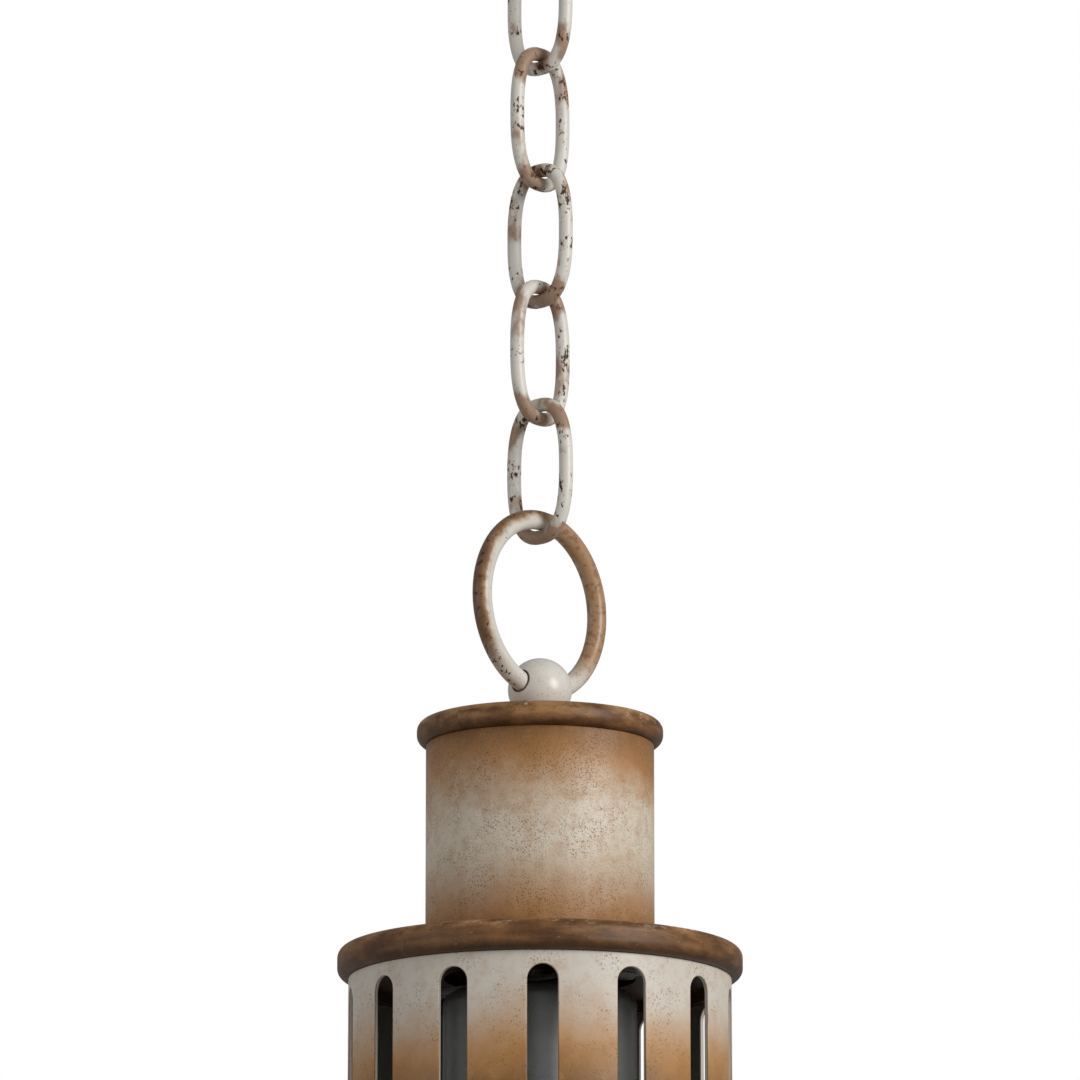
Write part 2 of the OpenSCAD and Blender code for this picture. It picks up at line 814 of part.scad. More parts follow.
// A springy strip that rises outside the base ring and holds the door shut
module door_catch() {
  in_x = door_r - door_rim_w * 0.6;
  out_x = flange_r + catch_gap;
  low = door_bottom - catch_t;
  color("tan") difference() {
    union() {
      translate([in_x, -catch_w / 2, low]) cube([out_x + catch_t - in_x, catch_w, catch_t]);
      translate([out_x, -catch_w / 2, low]) cube([catch_t, catch_w, catch_h]);
    }
    catch_rivet_places() translate([0, 0, -catch_t - past])
      cylinder(d = rivet_d, h = catch_t + 2 * past);
  }
}

module catch_rivets() {
  head_h = 1;
  color("tan") catch_rivet_places() {
    translate([0, 0, -catch_t]) cylinder(d = rivet_d, h = catch_t + door_t);
    translate([0, 0, -catch_t - head_h]) cylinder(d = rivet_d + 2, h = head_h);
  }
}

// A turned knob screwed into the middle of the dish
module door_finial() {
  seat = door_bottom - dish_h;
  collar_t = 3;
  waist_h = 4;
  color("saddlebrown") {
    translate([0, 0, seat - collar_t]) cylinder(d1 = knob_d - 4, d2 = knob_d + 2, h = collar_t);
    translate([0, 0, seat - collar_t - waist_h]) cylinder(d = knob_d / 2, h = waist_h);
    translate([0, 0, seat - collar_t - waist_h - knob_d / 2 + 1]) sphere(d = knob_d);
    translate([0, 0, seat]) cylinder(d = screw_d, h = door_t + 2);
  }
}

mounting_strap();
ground_screw();
threaded_tube();
lock_nut();
canopy();
collar_nut();
canopy_loop();
chain_link(1);  // chain_link_1
chain_link(2);  // chain_link_2
chain_link(3);  // chain_link_3
chain_link(4);  // chain_link_4
chain_link(5);  // chain_link_5
chain_link(6);  // chain_link_6
hanging_ring();
hanging_ball();
hanger_washer();
hanger_nut();
top_cap();
wire_bush();
neck_tube();
shoulder_flange();
vent_drum();
seam_strip();
seam_rivets();
lamp_bracket();
bracket_screws();
lamp_stem();
lamp_cup();
lamp_holder();
bulb_cap();
bulb_glass();
lower_flange();
gasket(glass_top);  // upper_gasket
glass_cylinder();
gasket(base_top);  // lower_gasket
guard_rods();
guard_band();
base_ring();
rod_nuts();
door_gasket();
hinge_bracket();
hinge_screws();
hinge_pin();
bottom_door();
door_catch();
catch_rivets();
door_finial();
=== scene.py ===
"""A hanging lantern in aged paint, on an oval-link chain."""
import json
import math

import bmesh
import bpy
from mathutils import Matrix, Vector


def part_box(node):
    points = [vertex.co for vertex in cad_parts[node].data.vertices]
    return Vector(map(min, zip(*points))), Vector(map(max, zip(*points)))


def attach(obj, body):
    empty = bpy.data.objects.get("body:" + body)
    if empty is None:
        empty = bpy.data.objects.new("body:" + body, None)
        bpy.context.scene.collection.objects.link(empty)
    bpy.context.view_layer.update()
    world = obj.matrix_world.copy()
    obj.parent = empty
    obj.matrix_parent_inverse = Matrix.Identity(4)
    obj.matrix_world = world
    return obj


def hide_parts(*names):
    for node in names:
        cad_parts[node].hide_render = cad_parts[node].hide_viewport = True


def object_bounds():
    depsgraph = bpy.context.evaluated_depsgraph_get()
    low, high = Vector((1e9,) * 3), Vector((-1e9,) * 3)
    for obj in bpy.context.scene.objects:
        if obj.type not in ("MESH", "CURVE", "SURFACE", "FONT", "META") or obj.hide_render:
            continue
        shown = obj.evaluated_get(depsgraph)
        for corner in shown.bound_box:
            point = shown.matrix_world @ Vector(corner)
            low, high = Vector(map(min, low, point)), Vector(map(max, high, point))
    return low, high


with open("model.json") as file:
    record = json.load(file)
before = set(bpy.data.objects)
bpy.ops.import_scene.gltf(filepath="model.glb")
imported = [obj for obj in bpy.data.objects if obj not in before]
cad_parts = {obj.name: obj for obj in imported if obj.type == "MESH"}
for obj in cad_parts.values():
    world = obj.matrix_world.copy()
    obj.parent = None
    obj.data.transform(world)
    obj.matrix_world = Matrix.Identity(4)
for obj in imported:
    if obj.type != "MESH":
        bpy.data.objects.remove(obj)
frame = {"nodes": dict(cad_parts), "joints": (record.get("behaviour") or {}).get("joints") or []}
nodes = frame["nodes"]
cad_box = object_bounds()
joint_place = {j["name"]: Vector(j["pos_m"]) for j in frame["joints"]}
mm = 0.001


# ---- Camera ----
# A long lens a little below the hanging ring, looking up, turned so that the ring
# stands with its near side on the left. The wall behind is plain white.
view_turn = math.radians(-138.6)
view_rise = math.radians(-12.3)
view_distance = 2.65
view_height = joint_place["ring_swing"].z - 0.9 * mm

camera = bpy.data.objects.new("camera", bpy.data.cameras.new("camera"))
bpy.context.scene.collection.objects.link(camera)
camera.data.lens = 245.4
camera.data.clip_end = 20
aim = Vector((0, 0, view_height))
towards = Vector((
    math.cos(view_turn) * math.cos(view_rise),
    math.sin(view_turn) * math.cos(view_rise),
    math.sin(view_rise),
))
camera.location = aim + towards * view_distance
camera.rotation_euler = (-towards).to_track_quat("-Z", "Y").to_euler()
bpy.context.scene.camera = camera
bpy.context.scene.view_settings.view_transform = "Standard"


# ---- Ceiling fitting ----
# A steel strap screwed to the ceiling box carries a threaded tube. The spun canopy slides
# up the tube and is held by the collar nut, and the loop is screwed on below it.
class Amount:
    """A number that changes over a surface. Ordinary sums on it add Math nodes."""

    def __init__(self, maker, socket):
        self.maker = maker
        self.socket = socket

    def worked(self, operation, first, second=0.0):
        return self.maker.add("ShaderNodeMath", {"operation": operation}, {0: first, 1: second})

    def __add__(self, other):
        return self.worked("ADD", self, other)

    def __radd__(self, other):
        return self.worked("ADD", other, self)

    def __sub__(self, other):
        return self.worked("SUBTRACT", self, other)

    def __mul__(self, other):
        return self.worked("MULTIPLY", self, other)

    def __truediv__(self, other):
        return self.worked("DIVIDE", self, other)

    def __rtruediv__(self, other):
        return self.worked("DIVIDE", other, self)

    def __pow__(self, exponent):
        return self.worked("POWER", self, exponent)

    def __abs__(self):
        return self.worked("ABSOLUTE", self)

    def highest(self, other):
        return self.worked("MAXIMUM", self, other)

    def rise(self, low, high):
        """0 up to low and 1 from high on, with a soft step between. Low may be the larger."""
        return self.maker.add(
            "ShaderNodeMapRange",
            {"interpolation_type": "SMOOTHSTEP"},
            {"Value": self, "From Min": low, "From Max": high},
        )


class Maker:
    """Adds nodes to a tree. A value may be a plain one or the output of another node."""

    def add(self, kind, settings, sockets, output=0):
        node = self.tree.nodes.new(kind)
        for name, value in settings.items():
            setattr(node, name, value)
        for name, value in sockets.items():
            for one in value if isinstance(value, list) else [value]:
                if isinstance(one, Amount):
                    self.tree.links.new(one.socket, node.inputs[name])
                else:
                    node.inputs[name].default_value = one
        return Amount(self, node.outputs[output])


def screen(red, green, blue):
    """A colour given as it looks on a screen, 0 to 255, as the shader wants it."""
    return tuple(
        c / 12.92 if c <= 0.04045 else ((c + 0.055) / 1.055) ** 2.4
        for c in (red / 255, green / 255, blue / 255)
    )


class Finish(Maker):
    """A material on one principled shader, whose layers are added one by one."""

    def __init__(self, name, **shader):
        self.material = bpy.data.materials.new(name)
        self.material.use_nodes = True
        self.tree = self.material.node_tree
        self.shader = self.tree.nodes["Principled BSDF"]
        for socket, value in shader.items():
            self.shader.inputs[socket.replace("_", " ")].default_value = value
        self.place = self.add("ShaderNodeTexCoord", {}, {}, "Object")

    def feed(self, socket, value):
        self.tree.links.new(value.socket, self.shader.inputs[socket])

    def axis(self, letter):
        return self.add("ShaderNodeSeparateXYZ", {}, {0: self.place}, letter)

    def scaled(self, size, stretch=(1, 1, 1), start=(0, 0, 0), place=None):
        """The place on the piece in units of size, pulled longer along an axis by stretch."""
        scale = tuple(1 / (size * s) for s in stretch)
        return self.add(
            "ShaderNodeMapping",
            {},
            {"Vector": place or self.place, "Scale": scale, "Location": start},
        )

    def wrapped(self):
        """The place as turn, radius and height, for marks that run round."""
        x, y, z = (self.axis(letter) for letter in "XYZ")
        turn = self.add("ShaderNodeMath", {"operation": "ARCTAN2"}, {0: y, 1: x})
        radius = (x * x + y * y) ** 0.5
        usual_radius = 70 * mm
        return self.add("ShaderNodeCombineXYZ", {}, {0: turn * usual_radius, 1: radius, 2: z})

    def cloud(self, size, detail=3.0, roughness=0.55, **placing):
        """Soft patches of about the given size, from 0 to 1."""
        return self.add(
            "ShaderNodeTexNoise",
            {},
            {"Vector": self.scaled(size, **placing), "Scale": 1.0, "Detail": detail,
             "Roughness": roughness},
        )

    def dots(self, size, radius, **placing):
        """Small spots with ragged sides, one to a cell of the given size; 1 inside a spot."""
        far = self.add(
            "ShaderNodeTexVoronoi", {}, {"Vector": self.scaled(size, **placing), "Scale": 1.0},
            "Distance",
        )
        ragged = far + (self.cloud(size * 0.45, detail=1) - 0.5) * 0.3
        return ragged.rise(radius, radius * 0.5)

    def mixed(self, amount, first, second):
        """First where the amount is 0, second where it is 1."""
        sockets = {0: amount}
        for index, colour in ((6, first), (7, second)):
            sockets[index] = colour if isinstance(colour, Amount) else (*colour, 1)
        return self.add("ShaderNodeMix", {"data_type": "RGBA"}, sockets, 2)

    def relief(self, height, depth):
        return self.add(
            "ShaderNodeBump", {}, {"Height": height, "Distance": depth, "Strength": 1.0}, "Normal"
        )


def painted(piece, finish):
    """Gives a piece one finish all over."""
    piece.data.materials.clear()
    piece.data.materials.append(finish.material)


def zinc_plate(name, tone=(0.40, 0.40, 0.38)):
    """Dull zinc with crystal flecks, a little brown in the recesses."""
    zinc = Finish(name, Metallic=0.85)
    flecks = zinc.cloud(2.2 * mm, detail=4)
    darker_share = zinc.cloud(9 * mm, detail=5, start=(4, 1, 2)).rise(0.52, 0.75)
    bright = zinc.mixed(flecks, tuple(t * 0.7 for t in tone), tuple(t * 1.15 for t in tone))
    zinc.feed("Base Color", zinc.mixed(darker_share * 0.7, bright, (0.10, 0.06, 0.03)))
    zinc.feed("Roughness", flecks * 0.25 + 0.32)
    zinc.feed("Normal", zinc.relief(flecks, 0.05 * mm))
    return zinc


def bronze_coat(node):
    """Brown bronze paint on one turned piece, paler tan along its upper edge, partly wear and
    partly a painted highlight, and darker towards the bottom."""
    low, high = (corner.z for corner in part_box(node))
    coat = Finish("bronze_" + node, Specular_IOR_Level=0.35)
    height = (coat.axis("Z") - low) / (high - low)
    round_place = coat.wrapped()
    streak = coat.cloud(9 * mm, detail=5, stretch=(2.0, 1, 0.5), place=round_place)
    tone = coat.mixed(streak.rise(0.35, 0.68), screen(96, 62, 32), screen(146, 102, 60))
    # Darker towards the bottom of the piece.
    darker_share = (height + (coat.cloud(6 * mm, detail=3) - 0.5) * 0.4).rise(0.62, 0.10)
    tone = coat.mixed(darker_share * 0.85, tone, screen(56, 34, 16))
    # Paler tan over the upper part: partly wear, partly a painted highlight where light falls on
    # the top.
    painted_light_band = (height + (streak - 0.5) * 1.1).rise(0.66, 1.0)
    tone = coat.mixed(painted_light_band * 0.6, tone, screen(182, 138, 92))
    flake = coat.cloud(
        1.6 * mm, detail=6, roughness=0.7, stretch=(2.2, 1, 1), place=round_place)
    where = coat.cloud(16 * mm, detail=2, start=(2, 7, 3)).rise(0.42, 0.58)
    edge = height.rise(0.55, 0.95) * height.rise(1.06, 0.98)
    scuffs = flake.rise(0.54, 0.60) * where * edge
    tone = coat.mixed(scuffs * 0.85, tone, screen(214, 190, 160))
    scratch = coat.cloud(
        0.9 * mm, detail=3, stretch=(4, 1, 0.6), place=round_place, start=(1, 5, 2))
    tone = coat.mixed(scratch.rise(0.68, 0.72) * where * 0.6, tone, screen(186, 156, 122))
    dust = coat.dots(1.3 * mm, 0.22, start=(3, 1, 1))
    coat.feed("Base Color", coat.mixed(dust * 0.6, tone, screen(40, 26, 16)))
    coat.feed("Roughness", 0.34 + streak * 0.26 + scuffs * 0.2)
    coat.feed("Normal", coat.relief(flake * 0.5 + scuffs + streak, 0.10 * mm))
    return coat


def placed(piece, body, material_slot, *cad_nodes):
    """Hands a finished piece over: what it moves with and what it stands for. Its material slot is
    not used.
    """
    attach(piece, body)
    if cad_nodes:
        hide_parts(*cad_nodes)


def dressed(node, body, material_slot, finish, width=0.3 * mm):
    """The same part with its sharp edges taken off by a file, as a real one leaves the shop."""
    work = bmesh.new()
    work.from_mesh(nodes[node].data)
    bmesh.ops.remove_doubles(work, verts=work.verts, dist=0.002 * mm)
    bmesh.ops.dissolve_limit(
        work, angle_limit=math.radians(1), verts=work.verts, edges=work.edges, delimit=set())
    for face in work.faces:
        face.smooth = True
    mesh = bpy.data.meshes.new(node + "_dressed")
    work.to_mesh(mesh)
    work.free()
    piece = bpy.data.objects.new(node + "_dressed", mesh)
    bpy.context.scene.collection.objects.link(piece)
    edge = piece.modifiers.new("edge", "BEVEL")
    edge.width = width
    edge.segments = 2
    edge.limit_method = "ANGLE"
    edge.angle_limit = math.radians(40)
    edge.harden_normals = True
    painted(piece, finish)
    placed(piece, body, material_slot, node)


strap_zinc = zinc_plate("strap_zinc")
for name in ("mounting_strap", "lock_nut"):
    dressed(name, "ceiling", "zinc", strap_zinc)
painted(nodes["threaded_tube"], strap_zinc)
green_plate = Finish("green_plate", Metallic=0.6, Roughness=0.38)
tarnish = green_plate.cloud(1.5 * mm, detail=4)
tone = green_plate.mixed(tarnish, (0.01, 0.12, 0.04), (0.03, 0.24, 0.09))
green_plate.feed("Base Color", tone)
painted(nodes["ground_screw"], green_plate)
for name in ("canopy", "collar_nut", "canopy_loop"):
    painted(nodes[name], bronze_coat(name))


# ---- Chain ----
# Six oval links of round steel wire, each bent round, butt welded and hung in the one above,
# then painted cream. Paint is chipped to dark metal and rusty where the links bear.
class Growth(Maker):
    """A geometry node tree that makes one piece from named sizes."""

    def __init__(self, name, **sizes):
        self.tree = bpy.data.node_groups.new(name, "GeometryNodeTree")
        face = self.tree.interface
        face.new_socket("Geometry", in_out="INPUT", socket_type="NodeSocketGeometry")
        for size, value in sizes.items():
            kind = "NodeSocketInt" if isinstance(value, int) else "NodeSocketFloat"
            face.new_socket(size, in_out="INPUT", socket_type=kind).default_value = value
        face.new_socket("Geometry", in_out="OUTPUT", socket_type="NodeSocketGeometry")
        self.inputs = self.tree.nodes.new("NodeGroupInput")

    def given(self, size):
        return Amount(self, self.inputs.outputs[size])

    def ended(self, shape, finish):
        """Closes the tree: smooth faces, real copies, one finish."""
        smooth = self.add("GeometryNodeSetShadeSmooth", {}, {"Geometry": shape})
        real = self.add("GeometryNodeRealizeInstances", {}, {"Geometry": smooth})
        node = self.tree.nodes.new("GeometryNodeSetMaterial")
        node.inputs["Material"].default_value = finish.material
        self.tree.links.new(real.socket, node.inputs["Geometry"])
        out = self.tree.nodes.new("NodeGroupOutput")
        self.tree.links.new(node.outputs[0], out.inputs[0])

    def grown(self, name, start=None, **sizes):
        """The finished piece as a plain mesh. start is the mesh that goes into the tree."""
        seed = bpy.data.objects.new(name + "_seed", start or bpy.data.meshes.new(name + "_seed"))
        bpy.context.scene.collection.objects.link(seed)
        modifier = seed.modifiers.new("growth", "NODES")
        modifier.node_group = self.tree
        for item in self.tree.interface.items_tree:
            if item.in_out == "INPUT" and item.name in sizes:
                modifier[item.identifier] = sizes[item.name]
        shown = seed.evaluated_get(bpy.context.evaluated_depsgraph_get())
        mesh = bpy.data.meshes.new_from_object(shown)
        bpy.data.objects.remove(seed)
        piece = bpy.data.objects.new(name, mesh)
        bpy.context.scene.collection.objects.link(piece)
        return piece


def bent_wire(name, finish):
    """A closed loop of round wire in the XZ plane: an oval whose fullness is 2 for a true
    circle and more for flatter sides, turned about Z and moved to its height."""
    loop = Growth(name, Half_width=0.0125, Half_length=0.0245, Fullness=2.6, Wire=0.0025,
                  Turn=0.0, Height=0.0)
    path = loop.add("GeometryNodeCurvePrimitiveCircle", {}, {"Resolution": 112, "Radius": 1.0})
    place = loop.add("GeometryNodeInputPosition", {}, {})
    along = [loop.add("ShaderNodeSeparateXYZ", {}, {0: place}, letter) for letter in "XY"]
    bend = 2 / loop.given("Fullness")
    reach = [
        abs(step) ** bend * step.worked("SIGN", step) * loop.given(half)
        for step, half in zip(along, ("Half_width", "Half_length"))
    ]
    spot = loop.add("ShaderNodeCombineXYZ", {}, {0: reach[0], 2: reach[1]})
    path = loop.add("GeometryNodeSetPosition", {}, {"Geometry": path, "Position": spot})
    section = loop.add("GeometryNodeCurvePrimitiveCircle", {},
                       {"Resolution": 24, "Radius": loop.given("Wire")})
    wire = loop.add("GeometryNodeCurveToMesh", {}, {"Curve": path, "Profile Curve": section})
    turn = loop.add("ShaderNodeCombineXYZ", {}, {2: loop.given("Turn")})
    shift = loop.add("ShaderNodeCombineXYZ", {}, {2: loop.given("Height")})
    wire = loop.add("GeometryNodeTransform", {},
                    {"Geometry": wire, "Translation": shift, "Rotation": turn})
    loop.ended(wire, finish)
    return loop


link_names = [f"chain_link_{i}" for i in range(1, 7)]
hooks = [joint_place[f"link_{i}_swing"].z for i in range(1, 7)]
link_pitch = hooks[0] - hooks[1]

cream = screen(236, 230, 219)
pale_grey = screen(216, 212, 203)
rust = screen(146, 100, 58)
dark_metal_and_shade = screen(66, 42, 28)

chain_paint = Finish("chain_paint", Coat_Weight=0.1, Coat_Roughness=0.3)
bearing = (chain_paint.axis("Z") - hooks[0]) / link_pitch
bearing = bearing.worked("PINGPONG", bearing, 0.5) * link_pitch
patchy = chain_paint.cloud(11 * mm, detail=3, stretch=(1, 1, 1.6))
tone = chain_paint.mixed(chain_paint.cloud(6 * mm, detail=2), pale_grey, cream)
washed = (patchy + bearing.rise(10 * mm, 2 * mm) * 0.14).rise(0.52, 0.66)
tone = chain_paint.mixed(washed * 0.8, tone, rust)
chip_grain = chain_paint.cloud(
    1.7 * mm, detail=6, roughness=0.68, stretch=(1, 1, 1.8), start=(3, 2, 5))
chip_place = chain_paint.cloud(8 * mm, detail=2, start=(7, 1, 4)).rise(0.47, 0.63)
worn = chip_grain + chip_place * 0.13 + bearing.rise(6 * mm, 2 * mm) * 0.03
halo = worn.rise(0.63, 0.68)
chips = worn.rise(0.68, 0.70)
specks = chain_paint.dots(1.5 * mm, 0.24) * patchy.rise(0.40, 0.55)
tone = chain_paint.mixed(halo.highest(specks * 0.7) * 0.8, tone, rust)
chain_paint.feed("Base Color", chain_paint.mixed(chips, tone, dark_metal_and_shade))
chain_paint.feed("Roughness", chips * 0.3 + 0.42)
chain_paint.feed(
    "Normal", chain_paint.relief(patchy * 0.5 - chips * 1.4 - specks * 0.4, 0.12 * mm))

link_wire = bent_wire("link_wire", chain_paint)
for i, name in enumerate(link_names):
    low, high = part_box(name)
    size = high - low
    wire_r = min(size.x, size.y) / 2
    link = link_wire.grown(
        "link_" + str(i + 1),
        Half_width=max(size.x, size.y) / 2 - wire_r,
        Half_length=size.z / 2 - wire_r,
        Wire=wire_r,
        Turn=0.0 if size.x > size.y else math.pi / 2,
        Height=(low.z + high.z) / 2,
    )
    placed(link, f"link_{i + 1}", "chain_paint", name)


# ---- Hanging ring ----
# A round ring of thicker wire, closed and ground smooth after it was passed through the ball.
# Its paint has gone tan on the outside of the bend and stays pale down by the ball.
low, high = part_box("hanging_ring")
ring_wire_r = (high.y - low.y) / 2
ring_r = (high.x - low.x) / 2 - ring_wire_r
ring_z = (low.z + high.z) / 2

tan_coat = screen(172, 130, 88)
brown_coat = screen(104, 68, 36)
ring_paint = Finish("ring_paint", Coat_Weight=0.15, Coat_Roughness=0.25)
x, z = ring_paint.axis("X"), ring_paint.axis("Z") - ring_z
outward = ((x * x + z * z) ** 0.5 - ring_r) / ring_wire_r
drift = ring_paint.cloud(10 * mm, detail=4) - 0.5
height = z / ring_r
far_side = x.rise(-8 * mm, 14 * mm)
stained = (outward * 0.5 + drift * 0.9 + far_side * 0.85 + 0.12).rise(0.0, 0.5)
stained = stained * height.rise(-0.95, -0.45)
tone = ring_paint.mixed(ring_paint.cloud(5 * mm, detail=2), pale_grey, cream)
tone = ring_paint.mixed(stained * 0.95, tone, tan_coat)
deep = (outward + drift * 1.3).rise(0.35, 1.05) * height.rise(-0.95, -0.45)
tone = ring_paint.mixed(deep * 0.85, tone, brown_coat)
grain = ring_paint.cloud(1.9 * mm, detail=5, roughness=0.65, start=(2, 3, 1))
worn = grain + (outward + drift).rise(0.3, 1.0) * 0.09
specks = ring_paint.dots(1.2 * mm, 0.26) * ring_paint.cloud(7 * mm, detail=2).rise(0.42, 0.6)
chips = worn.rise(0.665, 0.685)
mist = ring_paint.cloud(2.6 * mm, detail=4, start=(8, 2, 2)).rise(0.5, 0.62) * stained
tone = ring_paint.mixed(mist * 0.5, tone, brown_coat)
tone = ring_paint.mixed(specks * 0.6, tone, rust)
ring_paint.feed("Base Color", ring_paint.mixed(chips, tone, dark_metal_and_shade))
ring_paint.feed("Roughness", chips * 0.3 + 0.36)
ring_paint.feed("Normal", ring_paint.relief(drift * 0.5 - chips - specks * 0.4, 0.10 * mm))

ring = bent_wire("ring_wire", ring_paint).grown(
    "ring", Half_width=ring_r, Half_length=ring_r, Fullness=2.0, Wire=ring_wire_r, Height=ring_z)
placed(ring, "ring", "ring_paint", "hanging_ring")


# ---- Hanging ball ----
# A solid steel ball, drilled on a curve for the ring and screwed down through the top cap.
# A dark band round the hole is painted shade for the gap about the ring, and the paint has browned
# at the foot.
cap_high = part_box("top_cap")[1]
ball_paint = Finish("ball_paint", Coat_Weight=0.2, Coat_Roughness=0.2)
x, y, z = (ball_paint.axis(letter) for letter in "XYZ")
across = (x * x + (z - ring_z) * (z - ring_z)) ** 0.5 - ring_r
to_ring = (across * across + y * y) ** 0.5
drift = ball_paint.cloud(5 * mm, detail=4) - 0.5
tone = ball_paint.mixed(ball_paint.cloud(4 * mm, detail=2), pale_grey, cream)
foot = (z - cap_high.z + drift * 5 * mm).rise(4.5 * mm, 0.2 * mm)
tone = ball_paint.mixed(foot * 0.8, tone, tan_coat)
specks = ball_paint.dots(1.4 * mm, 0.2)
tone = ball_paint.mixed(specks * 0.5, tone, rust)
# Painted shade: a dark band round the hole, where the ring passes through the ball.
painted_light_band = (to_ring + drift * 0.5 * mm).rise(ring_wire_r + 1.0 * mm, ring_wire_r + 0.55 * mm)
ball_paint.feed("Base Color", ball_paint.mixed(painted_light_band, tone, dark_metal_and_shade))
ball_paint.feed("Roughness", painted_light_band * 0.3 + 0.34)
ball_paint.feed("Normal", ball_paint.relief(drift - painted_light_band, 0.08 * mm))
painted(nodes["hanging_ball"], ball_paint)


# ---- Top cap ----
# A turned brass disc with a rounded edge in brown bronze paint. The ball's stud, its washer
# and nut, and a rubber bush for the supply wires pass through it.
def soft_rubber(name):
    rubber = Finish(name)
    bloom = rubber.cloud(5 * mm, detail=5)
    grain = rubber.cloud(0.8 * mm, detail=2)
    rubber.feed("Base Color", rubber.mixed(bloom, (0.012, 0.012, 0.012), (0.045, 0.043, 0.040)))
    rubber.feed("Roughness", bloom * 0.25 + 0.62)
    rubber.feed("Normal", rubber.relief(grain, 0.05 * mm))
    return rubber


painted(nodes["top_cap"], bronze_coat("top_cap"))
stud_zinc = zinc_plate("stud_zinc")
for name in ("hanger_washer", "hanger_nut"):
    dressed(name, "lantern", "zinc", stud_zinc)
bush_rubber = soft_rubber("bush_rubber")
painted(nodes["wire_bush"], bush_rubber)


# ---- Neck ----
# A plain rolled tube that fits over spigots on the cap and the shoulder flange. Its cream
# paint is speckled all over, cloudy tan under the cap and again at the foot.
neck_low, neck_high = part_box("neck_tube")
neck_cream = screen(222, 210, 190)
neck_tan = screen(178, 127, 74)
neck_brown = screen(106, 68, 32)
speck_brown = screen(118, 78, 40)

neck_paint = Finish("neck_paint")
height = (neck_paint.axis("Z") - neck_low.z) / (neck_high.z - neck_low.z)
drift = neck_paint.cloud(30 * mm, detail=5, roughness=0.6, stretch=(1, 1, 0.8)) - 0.5
mottle = neck_paint.cloud(5 * mm, detail=5, roughness=0.65, start=(5, 2, 8)) - 0.5
wavy = height + drift * 0.30 + mottle * 0.10
tan_ends = wavy.rise(0.50, 0.90).highest(wavy.rise(0.48, 0.02))
tone = neck_paint.mixed(tan_ends, neck_cream, neck_tan)
brown_ends = wavy.rise(0.76, 1.08).highest(wavy.rise(0.16, -0.10))
tone = neck_paint.mixed(brown_ends * 0.85, tone, neck_brown)
tone = neck_paint.mixed(mottle.rise(-0.10, 0.20) * 0.40, tone, neck_tan)
crowd = neck_paint.cloud(13 * mm, detail=3, start=(1, 9, 2)).rise(0.36, 0.62)
coarse = neck_paint.dots(1.3 * mm, 0.32) * crowd
fine = neck_paint.dots(0.7 * mm, 0.38, start=(3.1, 1.7, 0.4)) * (crowd * 0.5 + 0.4)
specks = coarse.highest(fine)
neck_paint.feed("Base Color", neck_paint.mixed(specks * 0.62, tone, speck_brown))
neck_paint.feed("Roughness", specks * 0.2 + 0.46)
grit = neck_paint.cloud(1.1 * mm, detail=3)
neck_paint.feed("Normal", neck_paint.relief(grit * 0.7 - specks * 0.7, 0.09 * mm))
dressed("neck_tube", "lantern", "neck_paint", neck_paint, width=0.4 * mm)


# ---- Shoulder flange ----
# The wide turned flange that joins the neck to the drum. Both tubes fit over spigots on it,
# and it has the same brown bronze paint as the cap.
painted(nodes["shoulder_flange"], bronze_coat("shoulder_flange"))


# ---- Vent drum ----
# A steel sheet with thirteen punched slots, rolled round and joined at a riveted seam.
# The slot edges are dressed round. Cream outside and tan at the foot, nearly black inside.
drum_low, drum_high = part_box("vent_drum")
drum_r = drum_high.x
drum_h = drum_high.z - drum_low.z
sheet_t = 1.6 * mm
slot_count = 13
slot_pitch = math.radians(27.25)
slot_half_w = 5.45 * mm
slot_margin = 4.9 * mm
seam_turn = math.radians(-39.6)
slot_dress = 0.45 * mm

drum_cream = screen(218, 209, 196)
drum_tan = screen(190, 138, 80)
drum_brown = screen(108, 70, 32)
inside_black = screen(132, 128, 118)

drum_paint = Finish("drum_paint")
x, y = drum_paint.axis("X"), drum_paint.axis("Y")
height = (drum_paint.axis("Z") - drum_low.z) / drum_h
drift = drum_paint.cloud(28 * mm, detail=5, roughness=0.6, start=(5, 2, 1)) - 0.5
mottle = drum_paint.cloud(5 * mm, detail=5, roughness=0.65, start=(5, 6, 8)) - 0.5
wavy = height + drift * 0.45 + mottle * 0.12
tone = drum_paint.mixed(wavy.rise(0.82, 0.32), drum_cream, drum_tan)
tone = drum_paint.mixed(wavy.rise(0.50, 0.02) * 0.85, tone, drum_brown)
tone = drum_paint.mixed(mottle.rise(-0.05, 0.22) * 0.32, tone, drum_tan)
crowd = drum_paint.cloud(12 * mm, detail=3, start=(1, 9, 2)).rise(0.40, 0.64)
coarse = drum_paint.dots(1.5 * mm, 0.29) * crowd
specks = coarse.highest(drum_paint.dots(0.85 * mm, 0.30) * crowd * 0.8)
tone = drum_paint.mixed(specks * 0.6, tone, speck_brown)
radius = (x * x + y * y) ** 0.5
rim = (radius + mottle * 0.5 * mm).rise(drum_r - 0.05 * mm, drum_r - 0.3 * mm)
tone = drum_paint.mixed(rim * 0.7, tone, drum_brown)
pale_edge = radius.rise(drum_r - 0.35 * mm, drum_r - 0.6 * mm)
tone = drum_paint.mixed(pale_edge * 0.8, tone, drum_cream)
inner = radius.rise(drum_r - sheet_t * 0.72, drum_r - sheet_t * 0.9)
drum_paint.feed("Base Color", drum_paint.mixed(inner, tone, inside_black))
drum_paint.feed("Roughness", 0.44 + inner * 0.3)
grit = drum_paint.cloud(1.1 * mm, detail=3)
drum_paint.feed("Normal", drum_paint.relief(grit * 0.6 - specks * 0.7, 0.09 * mm))


